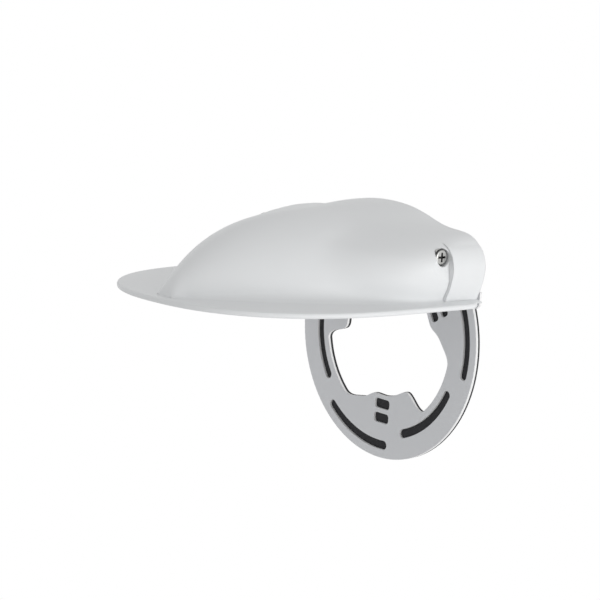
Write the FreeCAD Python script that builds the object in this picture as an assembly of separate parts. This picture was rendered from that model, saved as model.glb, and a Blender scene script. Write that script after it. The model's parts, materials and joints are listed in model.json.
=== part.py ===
import FreeCAD, Part
import math
import os

V = FreeCAD.Vector

# Sun shield for a small dome camera: a white moulded hood that tilts on the two ears of a
# slotted steel ring plate. Origin: middle of the ring, on the wall's face. +X is the right
# side, -Y the way the hood points, +Z up. Millimetres. The pieces are drawn from the front
# face of the sheet and moved forward by WALL_GAP as they are saved.

# ring plate, a pressed sheet with two folded ears
RING_R = 62.5
SHEET = 1.3
EDGE_SOFT = 0.35
# lobe reaching into the opening: degrees from its own direction, share of RING_R
LOBE = [(-41.6, 0.708), (-37.0, 0.694), (-32.0, 0.653), (-27.5, 0.615), (-22.3, 0.578),
        (-17.5, 0.533), (-14.0, 0.506), (-9.0, 0.494), (1.0, 0.493), (12.5, 0.487), (23.0, 0.481),
        (28.5, 0.483), (31.8, 0.499), (33.8, 0.535), (35.2, 0.600), (36.6, 0.662), (38.6, 0.697),
        (42.0, 0.708)]
LOBE_TURNS = (-90.0, 30.0, 150.0)
SLOT_W = 4.5
OUTER_SLOT = (55.9, -41.5, 2.0)     # radius and the two end angles, from the lobe's direction
INNER_SLOT = (49.8, 17.9, 62.9)
TIE_SLOT_R = (35.2, 42.4)
TIE_SLOT = (10.6, 4.9, 1.7)         # along the ring, across it, corner radius
TIE_TURN = -1.3

# foam gasket behind the sheet
GASKET = 1.2
GASKET_SET_IN = 0.1
GASKET_LIP = 0.15
WALL_GAP = SHEET + GASKET

# ears and their side shoulders
EAR_X = 59.0
EAR_END_D = 8.4
BEND_R = 1.6
SHOULDER_X = RING_R - 0.1
SHOULDER_Z = (22.8, 31.0)
EAR_Z = (33.2, 47.5)

# tilt axis through the two side screws
PIVOT_Y, PIVOT_Z = -30.0, 50.2
SCREW_D = 4.0
HINGE_CLEAR = 0.1
FACE_CLEAR = 0.1
WASHER = (8.0, 1.0)
WASHER_ROOM = 0.5
NUT_AF, NUT_H = 7.0, 3.2
HEAD_D, HEAD_H = 8.0, 2.4
SEAT_WALL = 2.5
HEAD_SEAT_X = EAR_X + WASHER[1] + FACE_CLEAR + SEAT_WALL
SEAT_D = 8.8
SCREW_LEN = 10.0
BOSS_D = 10.4

# hood
WALL = 2.5
BRIM_T = 2.6
BRIM_TOP = 28.2
BRIM_HALF = 73.4
BRIM_WIDEST = -60.0
BRIM_REAR = -5.5
HOOD_REAR = -4.4
BRIM_BEND = 2.36
BRIM_CORNER = 12.0
CROWN_LEN = 148.2
BRIM_AHEAD = 3.0
BRIM_FRONT = -(CROWN_LEN + BRIM_AHEAD)
CROWN_H = 38.3
RIDGE_FALL = (4.6, 1.055)
CROWN_HALF = 67.2
SIDE_FALL = (1.6, 0.9)
SIDE_EASE, TOP_EASE = 1.236, 0.935
CHEEK_FRONT = -25.7
# rear outline of the crown, right half, from the brim up to the middle: across, up, how far
# forward that point stays on the outline, and the length over which it moves into the dome
SHOULDER = [(63.2, 28.2, 26, 44), (65.0, 33.1, 28, 48), (66.8, 38.8, 30, 52), (67.8, 44.4, 30, 52),
            (67.1, 49.4, 29, 50), (64.4, 54.2, 22, 48), (59.4, 58.0, 12, 46), (51.5, 59.8, 8, 44),
            (40.0, 60.9, 8, 44), (28.1, 64.2, 8, 44), (14.4, 67.3, 8, 44), (0.0, 68.2, 8, 44)]
# foot of the crown where it runs out into the brim: reach of the run-out behind and ahead
FOOT_SINK = 0.9
RUN_OUT = (6.0, 11.0)
RUN_OUT_FROM, RUN_OUT_OVER, RUN_OUT_FULL = 30.0, 40.0, 30.0
CHEEK = [(64.0, 25.6), (64.6, 28.2), (65.6, 30.8), (67.0, 33.8), (68.3, 37.8), (69.3, 43.8),
         (68.2, 49.4), (65.6, 53.5), (62.0, 55.8), (58.0, 56.5), (52.0, 55.6), (46.0, 53.0)]
# slices along the crown, as shares of its length
SLICES = (0.075, 0.12, 0.16, 0.19, 0.217, 0.244, 0.271, 0.298, 0.332, 0.366, 0.407, 0.454, 0.515,
          0.582, 0.65, 0.717, 0.778, 0.832, 0.878, 0.912, 0.939)
# last slices of the crown: distance to the end of its length, half width, height over the brim
NOSE = [(6.6, 6.7, 6.1), (4.6, 5.6, 3.5), (3.4, 4.9, 1.1), (3.0, 4.7, -0.3)]
HOLLOW_NOSE = [(11.6, 6.7, 5.0), (9.8, 5.7, 2.0), (9.0, 5.1, -0.9), (8.7, 4.9, -3.0)]
HOLLOW_SHIFT = 1.0
HOLLOW_DROP = 4.0
HOLLOW_HALF = EAR_X + 4.9
FACET_CUT = 60.0
FACET = (65.9, 6.0, 7.0)            # across at the screw, turn from the side, lean
CROWN_ANGLES = (0, 9, 18, 27, 36, 45, 54, 63, 70, 77, 84, 90)


def polar(r, deg):
    return V(r * math.cos(math.radians(deg)), 0, r * math.sin(math.radians(deg)))


def arc(r, a0, a1):
    return Part.Arc(polar(r, a0), polar(r, (a0 + a1) / 2), polar(r, a1)).toShape()


def spline(points):
    curve = Part.BSplineCurve()
    curve.interpolate(points)
    return curve.toShape()


def prism(wire, y0, y1):
    face = Part.Face(wire)
    face.translate(V(0, y0 - wire.BoundBox.YMin, 0))
    return face.extrude(V(0, y1 - y0, 0))


def rod_x(d, x0, x1, y=PIVOT_Y, z=PIVOT_Z):
    return Part.makeCylinder(d / 2, x1 - x0, V(x0, y, z), V(1, 0, 0))


def mirrored(shape):
    return shape.mirror(V(0, 0, 0), V(1, 0, 0))


def lobed_opening(grow=0.0):
    # three lobes joined by arcs of the plain opening
    edges = []
    for i, turn in enumerate(LOBE_TURNS):
        points = [polar(RING_R * r + grow, turn + a) for a, r in LOBE]
        edges.append(spline(points))
        nxt = turn + 120 + LOBE[0][0]
        start = turn + LOBE[-1][0]
        edges.append(arc(RING_R * LOBE[0][1] + grow, start, nxt))
    return Part.Wire(edges)


def arc_slot(r, a0, a1, width):
    h = width / 2
    def cap(a, side):
        mid = polar(r, a) + polar(h, a + 90 * side)
        return Part.Arc(polar(r + h, a), mid, polar(r - h, a)).toShape()
    return Part.Wire([arc(r - h, a0, a1), cap(a1, 1), arc(r + h, a1, a0), cap(a0, -1)])


def tie_slot(r, turn):
    along, across, corner = TIE_SLOT
    box = Part.makeBox(along, 4 * SHEET, across, V(-along / 2, -2 * SHEET, r - across / 2))
    box = box.makeFillet(corner, [e for e in box.Edges if abs(e.tangentAt(e.FirstParameter).y) > 0.9])
    box.rotate(V(0, 0, 0), V(0, 1, 0), 90 - turn - TIE_TURN)
    return box


def slot_cutters():
    cuts = []
    for turn in LOBE_TURNS:
        for r, a0, a1 in (OUTER_SLOT, INNER_SLOT):
            cuts.append(prism(arc_slot(r, turn + a0, turn + a1, SLOT_W), -2 * SHEET, 2 * SHEET))
        cuts += [tie_slot(r, turn) for r in TIE_SLOT_R]
    return cuts


def side_wing():
    # flat part beside the ring that carries the ear, with its low shoulder
    z0, z1 = SHOULDER_Z
    points = [(40, z0), (SHOULDER_X - 2, z0), (SHOULDER_X, z0 + 2), (SHOULDER_X, z1),
              (EAR_X - BEND_R - SHEET, EAR_Z[0]), (EAR_X - BEND_R - SHEET, EAR_Z[1]), (40, EAR_Z[1])]
    wire = Part.makePolygon([V(x, 0, z) for x, z in points + points[:1]])
    return prism(wire, 0, SHEET)


def ear():
    # folded forward from the wing: bend, then a tapered tongue with a round end about the pivot hole
    outer, inner = BEND_R + SHEET, BEND_R
    cx, cy = EAR_X - outer, SHEET - outer
    ring = Part.makeCylinder(outer, 100, V(cx, cy, 0)).cut(Part.makeCylinder(inner, 100, V(cx, cy, 0)))
    bend = ring.common(Part.makeBox(outer, outer, EAR_Z[1] - EAR_Z[0], V(cx, cy, EAR_Z[0])))
    r = EAR_END_D / 2
    outline = [(cy, EAR_Z[0]), (cy, EAR_Z[1]), (PIVOT_Y + 0.72 * r, PIVOT_Z + 0.69 * r),
               (PIVOT_Y, PIVOT_Z), (PIVOT_Y - 0.4 * r, PIVOT_Z - 0.91 * r)]
    wire = Part.makePolygon([V(EAR_X - SHEET, y, z) for y, z in outline + outline[:1]])
    tongue = Part.Face(wire).extrude(V(SHEET, 0, 0)).fuse(rod_x(EAR_END_D, EAR_X - SHEET, EAR_X))
    hole = rod_x(SCREW_D + 0.3, EAR_X - 5, EAR_X + 5)
    return bend.fuse(tongue).cut(hole)


def ring_plate():
    disc = Part.makeCylinder(RING_R, SHEET, V(0, 0, 0), V(0, 1, 0))
    disc = disc.makeFillet(EDGE_SOFT, [e for e in disc.Edges if e.BoundBox.YMax < 0.01])
    wing = side_wing()
    plate = disc.fuse([wing, mirrored(wing)]).removeSplitter()
    plate = plate.cut(prism(lobed_opening(), -1, SHEET + 1))
    plate = plate.cut(slot_cutters())
    right = ear()
    plate = plate.fuse([right, mirrored(right)]).removeSplitter()
    return plate


def ring_gasket():
    disc = Part.makeCylinder(RING_R - GASKET_SET_IN, GASKET, V(0, SHEET, 0), V(0, 1, 0))
    return disc.cut(prism(lobed_opening(-GASKET_LIP), SHEET - 1, SHEET + GASKET + 1))


def inset_profile(points, inset):
    # moves a half profile inwards along its own normal; the middle point moves straight down
    if not inset:
        return list(points)
    moved = []
    last = len(points) - 1
    for i, (x, z) in enumerate(points):
        ax, az = points[max(i - 1, 0)]
        bx, bz = points[min(i + 1, last)]
        if i == last:
            moved.append((0.0, z - inset))
            continue
        dx, dz = bx - ax, bz - az
        n = math.hypot(dx, dz)
        moved.append((x - inset * dz / n, z + inset * dx / n))
    return moved


def crown_profile(y):
    # rear shoulders pass forward into a plain dome that sinks into the brim
    d = -y
    half = CROWN_HALF * (1 - (d / CROWN_LEN) ** SIDE_FALL[0]) ** SIDE_FALL[1]
    high = CROWN_H * max(1 - (d / CROWN_LEN) ** RIDGE_FALL[0], 0.0) ** RIDGE_FALL[1]
    points = []
    for (sx, sz, start, length), a in zip(SHOULDER, CROWN_ANGLES):
        t = math.radians(a)
        x = half * max(math.cos(t), 0.0) ** SIDE_EASE
        z = BRIM_TOP + high * math.sin(t) ** TOP_EASE
        share = min(max((d - start) / length, 0.0), 1.0)
        share = share * share * (3 - 2 * share)
        points.append((sx + (x - sx) * share, sz + (z - sz) * share))
    return points


def both_sides(half_points, y):
    right = [V(x, y, z) for x, z in half_points]
    return right + [V(-x, y, z) for x, z in reversed(half_points[:-1])]


def spread(rows):
    # one parameter for each column, from the mean length of its steps
    steps = [0.0]
    for j in range(1, len(rows[0])):
        mean = sum(row[j].distanceToPoint(row[j - 1]) for row in rows) / len(rows)
        steps.append(steps[-1] + mean)
    return [t / steps[-1] for t in steps]


def skin(rows):
    # smooth closed body through rows of points; every row starts and ends on the same level
    across = spread(rows)
    along = spread(list(zip(*rows)))
    ribs = []
    for row in rows:
        rib = Part.BSplineCurve()
        rib.interpolate(Points=row, Parameters=across)
        ribs.append(rib)
    poles = []
    for j in range(ribs[0].NbPoles):
        line = Part.BSplineCurve()
        line.interpolate(Points=[rib.getPole(j + 1) for rib in ribs], Parameters=along)
        poles.append(line.getPoles())
    surface = Part.BSplineSurface()
    surface.buildFromPolesMultsKnots(poles, ribs[0].getMultiplicities(), line.getMultiplicities(),
                                     ribs[0].getKnots(), line.getKnots(), False, False, 3, 3)
    arch = surface.toShape()
    feet = [e for e in arch.Edges if e.BoundBox.ZLength < 1e-4]
    ends = [e for e in arch.Edges if e.BoundBox.ZLength >= 1e-4]
    lines, caps = [], []
    for e in ends:
        line = Part.makeLine(e.Vertexes[0].Point, e.Vertexes[-1].Point)
        lines.append(line)
        caps.append(Part.Face(Part.Wire([e, line])))
    base = Part.Face(Part.Wire(Part.__sortEdges__(feet + lines)))
    shell = Part.makeShell([arch, base] + caps)
    shell.sewShape()
    body = Part.makeSolid(shell)
    if body.Volume < 0:
        body.reverse()
    return body


def crown_row(y):
    points = crown_profile(y)
    share = min(max((-y - RUN_OUT_FROM) / RUN_OUT_OVER, 0.0), 1.0)
    reach = RUN_OUT[0] + (RUN_OUT[1] - RUN_OUT[0]) * share * (3 - 2 * share) * share
    reach *= min(1.0, (points[-1][1] - BRIM_TOP) / RUN_OUT_FULL)
    x0 = points[0][0] - 0.12 * reach
    foot = [(x0 + reach, BRIM_TOP - FOOT_SINK), (x0 + 0.52 * reach, BRIM_TOP + 0.035 * reach),
            (x0 + 0.17 * reach, BRIM_TOP + 0.20 * reach)]
    return both_sides(foot + points[1:], y)


def nose_row(y, half, top, foot, spring):
    # last rows, where the dome runs out into the brim: a half ellipse that springs from a level
    turns = [math.radians(a) for a in CROWN_ANGLES]
    points = [(half * math.cos(t), spring + (BRIM_TOP + top - spring) * math.sin(t)) for t in turns]
    return both_sides(foot + points[1:], y)


def crown():
    rows = [crown_row(HOOD_REAR)] + [crown_row(-CROWN_LEN * share) for share in SLICES]
    low = BRIM_TOP - FOOT_SINK
    for left, half, top in NOSE:
        reach = 0.62 * max(top, 0.0) + 0.8
        foot = [(half + reach, low), (half + 0.5 * reach, low + 1.1), (half + 0.16 * reach, low + 1.6)]
        rows.append(nose_row(left - CROWN_LEN, half, top, foot, low + 1.3))
    return skin(rows)


def cavity():
    # hollow under the crown, open downwards and to the wall
    low = BRIM_TOP - BRIM_T - HOLLOW_DROP
    places = [-HOOD_REAR, HOOD_REAR] + [-CROWN_LEN * share for share in SLICES[:-1]]
    rows = []
    for y in places:
        profile = crown_profile(min(y * (1 + HOLLOW_SHIFT / CROWN_LEN) - HOLLOW_SHIFT, 0.0))
        points = inset_profile(profile, WALL)
        x0 = points[0][0]
        rows.append(both_sides([(x0, low), (x0, BRIM_TOP)] + points[1:], y))
    rows += [nose_row(left - CROWN_LEN, half, top, [(half, low), (half, low + 1.5)], low + 3.0)
             for left, half, top in HOLLOW_NOSE]
    limit = Part.makeBox(2 * HOLLOW_HALF, 2 * CROWN_LEN, CROWN_LEN, V(-HOLLOW_HALF, -1.5 * CROWN_LEN, 0))
    return skin(rows).common(limit)


def brim_outline():
    n = 2.0 / BRIM_BEND
    right = []
    for i in range(0, 17):
        t = math.radians(90.0 * i / 16)
        right.append(V(BRIM_HALF * math.sin(t) ** n, 0,
                       BRIM_WIDEST - (BRIM_WIDEST - BRIM_FRONT) * math.cos(t) ** n))
    pts = [V(-p.x, p.z, 0) for p in reversed(right[1:])] + [V(p.x, p.z, 0) for p in right]
    front = Part.BSplineCurve()
    front.interpolate(Points=pts, InitialTangent=V(0, -1, 0), FinalTangent=V(0, 1, 0))
    c, k = BRIM_CORNER, BRIM_CORNER * (1 - math.sqrt(0.5))
    y_side = BRIM_REAR - c
    b, r = BRIM_HALF, BRIM_REAR
    edges = [front.toShape(), Part.makeLine(V(b, BRIM_WIDEST, 0), V(b, y_side, 0)),
             Part.Arc(V(b, y_side, 0), V(b - k, r - k, 0), V(b - c, r, 0)).toShape(),
             Part.makeLine(V(b - c, r, 0), V(c - b, r, 0)),
             Part.Arc(V(c - b, r, 0), V(k - b, r - k, 0), V(-b, y_side, 0)).toShape(),
             Part.makeLine(V(-b, y_side, 0), V(-b, BRIM_WIDEST, 0))]
    return Part.Wire(Part.__sortEdges__(edges))


def brim():
    face = Part.Face(brim_outline())
    face.translate(V(0, 0, BRIM_TOP - BRIM_T))
    plate = face.extrude(V(0, 0, BRIM_T))
    rim = [e for e in plate.Edges if e.BoundBox.ZLength < 0.01]
    return plate.makeFillet(BRIM_T * 0.42, rim)


def cheek():
    # rounded block at each rear side, a little wider than the crown before it
    outline = [V(x, 0, z) for x, z in CHEEK]
    corner = V(CHEEK[-1][0], 0, CHEEK[0][1])
    edges = [spline(outline), Part.makeLine(outline[-1], corner), Part.makeLine(corner, outline[0])]
    wire = Part.Wire(edges)
    return prism(wire, CHEEK_FRONT, HOOD_REAR)


def screw_facet():
    # flat that the flank is cut back to around the screw
    x, turn, lean = FACET
    block = Part.makeBox(FACET_CUT, FACET_CUT, FACET_CUT, V(0, -FACET_CUT / 2, -FACET_CUT / 2))
    block.rotate(V(0, 0, 0), V(0, 1, 0), -lean)
    block.rotate(V(0, 0, 0), V(0, 0, 1), turn)
    block.translate(V(x, PIVOT_Y, PIVOT_Z))
    ahead = V(EAR_X - BOSS_D, CHEEK_FRONT - FACET_CUT, BRIM_TOP)
    limit = Part.makeBox(FACET_CUT, FACET_CUT, FACET_CUT, ahead)
    return block.common(limit)


def hood():
    facet = screw_facet()
    outer = crown().cut([facet, mirrored(facet)])
    side = cheek()
    body = outer.fuse([side, mirrored(side), brim()])
    body = body.cut(cavity())
    boss_x = EAR_X + WASHER[1] + FACE_CLEAR
    inside = EAR_X - BOSS_D
    room = rod_x(WASHER[0] + 2 * WASHER_ROOM, inside, boss_x)
    body = body.cut([room, mirrored(room)])
    boss = rod_x(BOSS_D, boss_x, HEAD_SEAT_X).common(outer)
    seat = rod_x(SEAT_D, HEAD_SEAT_X, BRIM_HALF)
    bore = rod_x(SCREW_D + 2 * HINGE_CLEAR, inside, BRIM_HALF)
    body = body.fuse([boss, mirrored(boss)])
    body = body.cut([seat, mirrored(seat), bore, mirrored(bore)])
    return body


def side_screw():
    under = HEAD_SEAT_X + FACE_CLEAR
    tip = under - SCREW_LEN
    shank = rod_x(SCREW_D, tip, under)
    shank = shank.makeChamfer(0.5, [e for e in shank.Edges if abs(e.BoundBox.XMax - tip) < 0.01])
    head = rod_x(HEAD_D, under, under + HEAD_H)
    top = under + HEAD_H
    head = head.makeFillet(1.1, [e for e in head.Edges if abs(e.BoundBox.XMin - top) < 0.01])
    for turn in (0, 90):
        bar = Part.makeBox(1.7, 4.6, 1.1, V(top - 1.6, -2.3, -0.55))
        bar.rotate(V(0, 0, 0), V(1, 0, 0), turn)
        bar.translate(V(0, PIVOT_Y, PIVOT_Z))
        head = head.cut(bar)
    return shank.fuse(head).removeSplitter()


def washer():
    d, t = WASHER
    return rod_x(d, EAR_X, EAR_X + t).cut(rod_x(SCREW_D + 0.2, EAR_X - 1, EAR_X + t + 1))


def nut():
    far = EAR_X - SHEET
    r = NUT_AF / math.sqrt(3)
    corners = [V(far - NUT_H, PIVOT_Y + r * math.cos(math.radians(60 * i)),
                 PIVOT_Z + r * math.sin(math.radians(60 * i))) for i in range(6)]
    body = Part.Face(Part.makePolygon(corners + corners[:1])).extrude(V(NUT_H, 0, 0))
    return body.cut(rod_x(SCREW_D, far - NUT_H - 1, far + 1))


def save(name, shape):
    shape = shape.copy()
    shape.translate(V(0, -WALL_GAP, 0))
    if shape.ShapeType != "Solid" and len(shape.Solids) == 1:
        shape = shape.Solids[0]
    shape.exportStep(os.path.join("parts", name + ".step"))
    box = shape.BoundBox
    print(name, shape.isValid(), len(shape.Solids), round(shape.Volume),
          "x %.1f %.1f" % (box.XMin, box.XMax), "y %.1f %.1f" % (box.YMin, box.YMax),
          "z %.1f %.1f" % (box.ZMin, box.ZMax))


def main():
    os.makedirs("parts", exist_ok=True)
    save("ring_plate", ring_plate())
    save("ring_gasket", ring_gasket())
    save("hood", hood())
    for name, make in (("side_screw", side_screw), ("tilt_washer", washer), ("ear_nut", nut)):
        shape = make()
        save(name + "_right", shape)
        save(name + "_left", mirrored(shape))


main()
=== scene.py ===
import json

import bpy
import bmesh
from bpy.props import FloatProperty, FloatVectorProperty, PointerProperty
from mathutils import Matrix, Vector


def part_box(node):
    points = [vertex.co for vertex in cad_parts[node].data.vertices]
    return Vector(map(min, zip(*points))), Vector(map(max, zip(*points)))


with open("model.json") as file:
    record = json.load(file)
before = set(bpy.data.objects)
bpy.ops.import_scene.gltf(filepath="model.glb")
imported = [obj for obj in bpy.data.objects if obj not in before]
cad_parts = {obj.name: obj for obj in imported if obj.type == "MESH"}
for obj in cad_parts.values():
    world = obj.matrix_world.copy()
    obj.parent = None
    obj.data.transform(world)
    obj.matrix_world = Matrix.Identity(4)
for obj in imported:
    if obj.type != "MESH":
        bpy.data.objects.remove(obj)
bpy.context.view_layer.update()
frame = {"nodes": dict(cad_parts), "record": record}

bl_info = {
    "name": "Camera sun shield",
    "version": (1, 0, 0),
    "blender": (4, 5, 0),
    "location": "View3D > Sidebar > Sun Shield",
    "description": "Finishes a camera's sun shield: hood, slotted ring plate, gasket and screws",
    "category": "Object",
}

# The side screws turn about the hood's pivot. Each pair is where a painted-shade mask starts and where
# it is full, from the screw's axis or down from the top of its head: painted shade round the head's rim
# and in its cross recess.
PIVOT = Vector(frame["record"]["behaviour"]["joints"][0]["pos_m"])
HEAD_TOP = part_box("side_screw_right")[1][0]
HEAD_RADIUS = 0.004
RIM_REACH = (HEAD_RADIUS * 0.80, HEAD_RADIUS * 0.95)
RIM_DEPTH = (0.0009, 0.0013)
CROSS_REACH = (0.0023, 0.002645)
CROSS_DEPTH = (0.0004, 0.0011)

# The floor, the lights and the point that the lights face
FLOOR_HALF = 3.0
FLOOR_HEIGHT = -0.35
WHITE = (1.0, 1.0, 1.0)
LIT_POINT = (0.0, -0.06, 0.02)
KEY_PLACE = (1.6, 0.22, -0.04)
KEY_SIZE = (1.0, 0.6)
FILL_PLACE = (-0.5, -1.5, 0.1)
FILL_SIZE = (1.2, 0.8)
FILL_TINT = (0.9, 0.96, 1.0)

# The camera's own right and up, in the frame's axes
CAMERA_RIGHT = Vector((0.65992735, 0.74896544, 0.05955386))
CAMERA_UP = Vector((-0.15616558, 0.05920235, 0.98595507))
SENSOR_WIDTH = 36.0
CLIP_START, CLIP_END = 0.05, 20.0


# Shader maths

class Sock:
    """A node socket that Python's operators turn into Math nodes."""

    def __init__(self, sheet, socket):
        self.sheet = sheet
        self.socket = socket

    def _maths(self, operation, first, second=None):
        values = {0: first} if second is None else {0: first, 1: second}
        return self.sheet.node("ShaderNodeMath", {"operation": operation}, values)

    def __add__(self, other):
        return self._maths("ADD", self, other)

    __radd__ = __add__

    def __sub__(self, other):
        return self._maths("SUBTRACT", self, other)

    def __rsub__(self, other):
        return self._maths("SUBTRACT", other, self)

    def __mul__(self, other):
        return self._maths("MULTIPLY", self, other)

    __rmul__ = __mul__

    def __pow__(self, other):
        return self._maths("POWER", self, other)

    def size(self):
        return self._maths("ABSOLUTE", self)

    def larger(self, other):
        return self._maths("MAXIMUM", self, other)

    def smaller(self, other):
        return self._maths("MINIMUM", self, other)

    def around(self, middle, spread):
        """A pattern from 0 to 1, laid about a middle value."""
        return (self - 0.5) * spread + middle

    def step(self, low, high):
        """0 below low, 1 above high, smooth between."""
        return self.sheet.node("ShaderNodeMapRange", {"interpolation_type": "SMOOTHSTEP"},
                               {"Value": self, "From Min": low, "From Max": high})


class Sheet:
    """A node tree, built by adding nodes to it."""

    def __init__(self, tree, output):
        self.tree = tree
        tree.nodes.clear()
        self.output = tree.nodes.new(output)

    def plug(self, target, value):
        if isinstance(value, Sock):
            self.tree.links.new(value.socket, target)
        elif isinstance(value, (tuple, list)) and len(value) == 3 and target.type == "RGBA":
            target.default_value = (*value, 1.0)
        else:
            target.default_value = value

    def node(self, kind, settings, values, output=0):
        new = self.tree.nodes.new(kind)
        for key, value in settings.items():
            setattr(new, key, value)
        for key, value in values.items():
            self.plug(new.inputs[key], value)
        return Sock(self, new.outputs[output])

    def parts(self, new, names):
        return [Sock(self, new.outputs[name]) for name in names]

    def show(self, shader):
        self.tree.links.new(shader.socket, self.output.inputs["Surface"])

    def seen(self):
        """1 for the rays that meet the plain white background, 0 for those that light the object."""
        path = self.tree.nodes.new("ShaderNodeLightPath")
        kinds = ("Is Camera Ray", "Is Glossy Ray", "Is Transmission Ray")
        camera, gloss, through = self.parts(path, kinds)
        return (camera + gloss + through).smaller(1.0)

    def background(self, lit, glow):
        """Plain white where it is seen, and the lit shader for all other light."""
        white = self.node(glow, {}, {"Color": WHITE, "Strength": 1.0})
        self.show(self.node("ShaderNodeMixShader", {}, {0: self.seen(), 1: lit, 2: white}))


class Finish(Sheet):
    """A node material."""

    def __init__(self, name):
        self.material = bpy.data.materials.new(name)
        self.material.use_nodes = True
        super().__init__(self.material.node_tree, "ShaderNodeOutputMaterial")
        self.position = self.node("ShaderNodeTexCoord", {}, {}, "Object")

    def noise(self, scale, detail=2.0, rough=0.5):
        values = {"Vector": self.position, "Scale": scale, "Detail": detail, "Roughness": rough}
        return self.node("ShaderNodeTexNoise", {"normalize": True}, values, "Fac")

    def axes(self):
        split = self.tree.nodes.new("ShaderNodeSeparateXYZ")
        self.plug(split.inputs[0], self.position)
        return self.parts(split, "XYZ")

    def blend(self, amount, first, second):
        return self.node("ShaderNodeMix", {"data_type": "RGBA", "blend_type": "MIX"},
                         {0: amount, 6: first, 7: second}, 2)

    def shade(self, amount, tone, dark, light):
        """A tone that varies between a darker and a lighter share of itself."""
        return self.blend(amount, tuple(Vector(tone) * dark), tuple(Vector(tone) * light))

    def bump(self, height, strength, distance, normal=None):
        values = {"Height": height, "Strength": strength, "Distance": distance}
        if normal:
            values["Normal"] = normal
        return self.node("ShaderNodeBump", {}, values)

    def sides(self):
        """Mask of the cut sides of a sheet that lies across Y."""
        normal = self.node("ShaderNodeTexCoord", {}, {}, "Normal")
        facing = self.node("ShaderNodeVectorMath", {"operation": "DOT_PRODUCT"},
                           {0: normal, 1: (0, 1, 0)}, "Value")
        return 1.0 - facing.size().step(0.55, 0.85)

    def soft_edge(self, radius):
        """Normal that rounds off the edges."""
        return self.node("ShaderNodeBevel", {"samples": 6}, {"Radius": radius})

    def done(self, **values):
        names = {"colour": "Base Color", "roughness": "Roughness", "metallic": "Metallic",
                 "normal": "Normal", "specular": "Specular IOR Level"}
        inputs = {names[key]: value for key, value in values.items()}
        self.show(self.node("ShaderNodeBsdfPrincipled", {}, inputs))
        return self.material


def dress(nodes, material):
    for name in nodes:
        for slot in frame["nodes"][name].material_slots:
            slot.material = material


# Materials

def moulded_plastic(look):
    f = Finish("moulded_white_plastic")
    cloud = f.noise(scale=9.0, detail=3.0, rough=0.55)
    grain = f.noise(scale=2600.0, rough=0.6)
    pits = f.noise(scale=900.0, detail=1.0)
    colour = f.shade(cloud.around(0.5, 0.9), look.plastic_colour, dark=0.985, light=1.01)
    rough = cloud.around(0.5, 0.06) + grain.around(0.0, 0.08)
    normal = f.bump(grain * 0.6 + pits * 0.4, strength=0.10, distance=0.00005,
                    normal=f.soft_edge(radius=0.0009))
    return f.done(colour=colour, roughness=rough, normal=normal, specular=0.42)


def sheet_paint(look):
    f = Finish("light_grey_sheet_paint")
    cloud = f.noise(scale=14.0)
    speck = f.noise(scale=1500.0, rough=0.6)
    peel = f.noise(scale=420.0)
    face = f.shade(cloud.around(0.5, 0.8), look.plate_colour, dark=0.975, light=1.02)
    # Painted highlight: the sheet's cut edges get a lighter colour than its face, in place of the light
    # they catch.
    colour = f.blend(f.sides(), face, tuple(look.plate_edge_highlight))
    normal = f.bump(peel * 0.7 + speck * 0.3, strength=0.12, distance=0.00006,
                    normal=f.soft_edge(radius=0.0003))
    return f.done(colour=colour, roughness=speck.around(0.44, 0.12), normal=normal, specular=0.5)


def gasket_foam(look):
    f = Finish("black_gasket_foam")
    cells = f.noise(scale=1400.0, detail=3.0, rough=0.65)
    cloud = f.noise(scale=40.0)
    colour = f.shade(cells * 0.7 + cloud * 0.3, look.gasket_colour, dark=0.6, light=1.5)
    normal = f.bump(cells, strength=0.5, distance=0.0002)
    return f.done(colour=colour, roughness=cells.around(0.86, 0.12), normal=normal, specular=0.3)


def screw_steel(look):
    """Steel with painted shade in the cross recess and painted shade round the rim of the head."""
    f = Finish("screw_steel")
    x, y, z = f.axes()
    across, upward = (y - PIVOT.y).size(), (z - PIVOT.z).size()
    reach = (across * across + upward * upward) ** 0.5
    depth = HEAD_TOP - x.size()
    # Painted shade: these masks darken the head's rim and its cross recess, where shade falls in the
    # pocket and the recess.
    rim = reach.step(*RIM_REACH) * (1.0 - depth.step(*RIM_DEPTH))
    recess = depth.step(*CROSS_DEPTH) * (1.0 - reach.step(*CROSS_REACH))
    painted_shade = rim.larger(recess)
    cloud = f.noise(scale=700.0, rough=0.6)
    steel = f.shade(cloud, look.screw_colour, dark=0.85, light=1.12)
    # The screws' steel, with the painted-shade colour laid over the rim and the cross recess.
    colour = f.blend(painted_shade, steel, tuple(look.screw_painted_shade))
    return f.done(colour=colour, roughness=cloud.around(0.34, 0.15) + painted_shade * 0.25, metallic=1.0,
                  normal=f.bump(cloud, strength=0.2, distance=0.00004))


def plated_steel(look):
    f = Finish("plated_nut_steel")
    cloud = f.noise(scale=600.0, rough=0.6)
    return f.done(colour=f.shade(cloud, look.nut_colour, dark=0.85, light=1.1),
                  roughness=cloud.around(0.3, 0.15), metallic=1.0,
                  normal=f.bump(cloud, strength=0.15, distance=0.00003))


def nylon(look):
    f = Finish("natural_nylon")
    cloud = f.noise(scale=500.0)
    return f.done(colour=f.shade(cloud, look.washer_colour, dark=0.93, light=1.04),
                  roughness=cloud.around(0.42, 0.1),
                  normal=f.bump(cloud, strength=0.1, distance=0.00005))


# Colours, camera and light levels that a user would change

def tint(name, description, default):
    return FloatVectorProperty(name=name, description=description, subtype="COLOR",
                               default=default, min=0.0, max=1.0)


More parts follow.
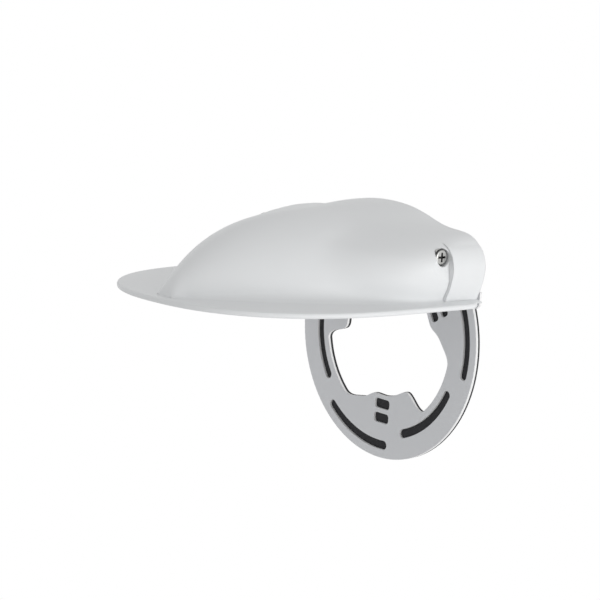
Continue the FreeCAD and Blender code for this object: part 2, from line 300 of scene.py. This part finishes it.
class SunShieldLook(bpy.types.PropertyGroup):
    plastic_colour: tint("Hood", "Colour of the moulded hood", (0.784, 0.796, 0.804))
    plate_colour: tint("Ring plate", "Colour of the painted sheet", (0.715, 0.725, 0.745))
    # Painted highlight: a lighter colour on the sheet's cut edges for the light they catch.
    plate_edge_highlight: tint("Cut edge", "Colour of the sheet's cut edges", (0.86, 0.86, 0.86))
    gasket_colour: tint("Gasket", "Colour of the foam behind the sheet", (0.032, 0.032, 0.035))
    screw_colour: tint("Screws", "Colour of the screws' steel", (0.42, 0.42, 0.41))
    # Painted shade: a dark colour laid on the screw heads' rim and cross recess in place of the shade
    # there.
    screw_painted_shade: tint("Screw recess", "Colour of the cross recess and the rim", (0.05, 0.05, 0.05))
    nut_colour: tint("Nuts", "Colour of the plated nuts", (0.58, 0.58, 0.57))
    washer_colour: tint("Washers", "Colour of the nylon washers", (0.72, 0.70, 0.64))


class SunShieldStage(bpy.types.PropertyGroup):
    camera_place: FloatVectorProperty(name="Camera", description="Where the camera stands",
                                      subtype="XYZ", unit="LENGTH", default=(1.06667, -1.02044, 0.24776))
    lens: FloatProperty(name="Lens", description="Focal length on a 36 mm sensor, in mm",
                        default=179.83)
    floor_colour: tint("Floor", "Colour of the pale floor", (0.9, 0.9, 0.9))
    key: FloatProperty(name="Key light", description="Power of the key light, in watts",
                       default=10.2)
    fill: FloatProperty(name="Fill light", description="Power of the fill light, in watts",
                        default=0.1)
    sky: FloatProperty(name="Sky", description="Strength of the even light", default=0.64)


# Operators

class SUNSHIELD_OT_hood(bpy.types.Operator):
    """Give the hood its matt moulded plastic"""
    bl_idname = "sunshield.hood"
    bl_label = "Finish hood"

    def execute(self, context):
        dress(["hood"], moulded_plastic(context.scene.sunshield_look))
        return {"FINISHED"}


class SUNSHIELD_OT_ring(bpy.types.Operator):
    """Give the ring plate its paint and the gasket its foam"""
    bl_idname = "sunshield.ring"
    bl_label = "Finish ring plate and gasket"

    def execute(self, context):
        look = context.scene.sunshield_look
        dress(["ring_plate"], sheet_paint(look))
        dress(["ring_gasket"], gasket_foam(look))
        return {"FINISHED"}


class SUNSHIELD_OT_fixings(bpy.types.Operator):
    """Give the side screws, nuts and washers their finish"""
    bl_idname = "sunshield.fixings"
    bl_label = "Finish screws, nuts and washers"

    def execute(self, context):
        look = context.scene.sunshield_look
        dress(["side_screw_right", "side_screw_left"], screw_steel(look))
        dress(["ear_nut_right", "ear_nut_left"], plated_steel(look))
        dress(["tilt_washer_right", "tilt_washer_left"], nylon(look))
        return {"FINISHED"}


def lay_floor(scene, colour):
    mesh = bpy.data.meshes.new("floor")
    bm = bmesh.new()
    bmesh.ops.create_grid(bm, x_segments=1, y_segments=1, size=FLOOR_HALF)
    bmesh.ops.translate(bm, verts=bm.verts, vec=(0, 0, FLOOR_HEIGHT))
    bm.to_mesh(mesh)
    bm.free()
    f = Finish("pale_backdrop")
    f.background(f.node("ShaderNodeBsdfDiffuse", {}, {"Color": tuple(colour)}), "ShaderNodeEmission")
    mesh.materials.append(f.material)
    floor = bpy.data.objects.new("floor", mesh)
    scene.collection.objects.link(floor)


def hang_light(scene, name, place, size, power, colour=WHITE):
    lamp = bpy.data.lights.new(name, "AREA")
    lamp.shape = "RECTANGLE"
    lamp.size, lamp.size_y = size
    lamp.energy = power
    lamp.color = colour
    holder = bpy.data.objects.new(name, lamp)
    holder.location = place
    holder.rotation_euler = (Vector(LIT_POINT) - Vector(place)).to_track_quat("-Z", "Y").to_euler()
    scene.collection.objects.link(holder)


def light_sky(scene, strength):
    scene.world = bpy.data.worlds.new("studio")
    scene.world.use_nodes = True
    f = Sheet(scene.world.node_tree, "ShaderNodeOutputWorld")
    even = f.node("ShaderNodeBackground", {}, {"Color": WHITE, "Strength": strength})
    f.background(even, "ShaderNodeBackground")


def place_camera(scene, place, focal_length):
    lens = bpy.data.cameras.new("photo_camera")
    lens.lens = focal_length
    lens.sensor_width = SENSOR_WIDTH
    lens.clip_start, lens.clip_end = CLIP_START, CLIP_END
    camera = bpy.data.objects.new("photo_camera", lens)
    turn = Matrix((CAMERA_RIGHT, CAMERA_UP, CAMERA_RIGHT.cross(CAMERA_UP))).transposed()
    camera.matrix_world = Matrix.Translation(Vector(place)) @ turn.to_4x4()
    scene.collection.objects.link(camera)
    scene.camera = camera


class SUNSHIELD_OT_stage(bpy.types.Operator):
    """Set up the floor, the soft lights and the camera"""
    bl_idname = "sunshield.stage"
    bl_label = "Set up stage"

    def execute(self, context):
        scene = context.scene
        stage = scene.sunshield_stage
        lay_floor(scene, stage.floor_colour)
        hang_light(scene, "key", KEY_PLACE, KEY_SIZE, stage.key)
        hang_light(scene, "fill", FILL_PLACE, FILL_SIZE, stage.fill, FILL_TINT)
        light_sky(scene, stage.sky)
        place_camera(scene, stage.camera_place, stage.lens)
        scene.view_settings.view_transform = "Standard"
        return {"FINISHED"}


class SUNSHIELD_PT_panel(bpy.types.Panel):
    """Lists the sun shield's finishes and the stage"""
    bl_idname = "SUNSHIELD_PT_panel"
    bl_label = "Camera sun shield"
    bl_space_type = "VIEW_3D"
    bl_region_type = "UI"
    bl_category = "Sun Shield"

    def draw(self, context):
        for group in (context.scene.sunshield_look, context.scene.sunshield_stage):
            column = self.layout.column()
            for key in group.bl_rna.properties.keys():
                if key not in ("rna_type", "name"):
                    column.prop(group, key)
        for operator in OPERATORS:
            self.layout.operator(operator.bl_idname)


OPERATORS = [SUNSHIELD_OT_hood, SUNSHIELD_OT_ring, SUNSHIELD_OT_fixings, SUNSHIELD_OT_stage]
CLASSES = [SunShieldLook, SunShieldStage, *OPERATORS, SUNSHIELD_PT_panel]


def register():
    for cls in CLASSES:
        bpy.utils.register_class(cls)
    bpy.types.Scene.sunshield_look = PointerProperty(type=SunShieldLook)
    bpy.types.Scene.sunshield_stage = PointerProperty(type=SunShieldStage)


def unregister():
    del bpy.types.Scene.sunshield_stage
    del bpy.types.Scene.sunshield_look
    for cls in reversed(CLASSES):
        bpy.utils.unregister_class(cls)


def main():
    register()
    bpy.ops.sunshield.stage()
    bpy.ops.sunshield.hood()
    bpy.ops.sunshield.ring()
    bpy.ops.sunshield.fixings()


if __name__ == "__main__":
    main()
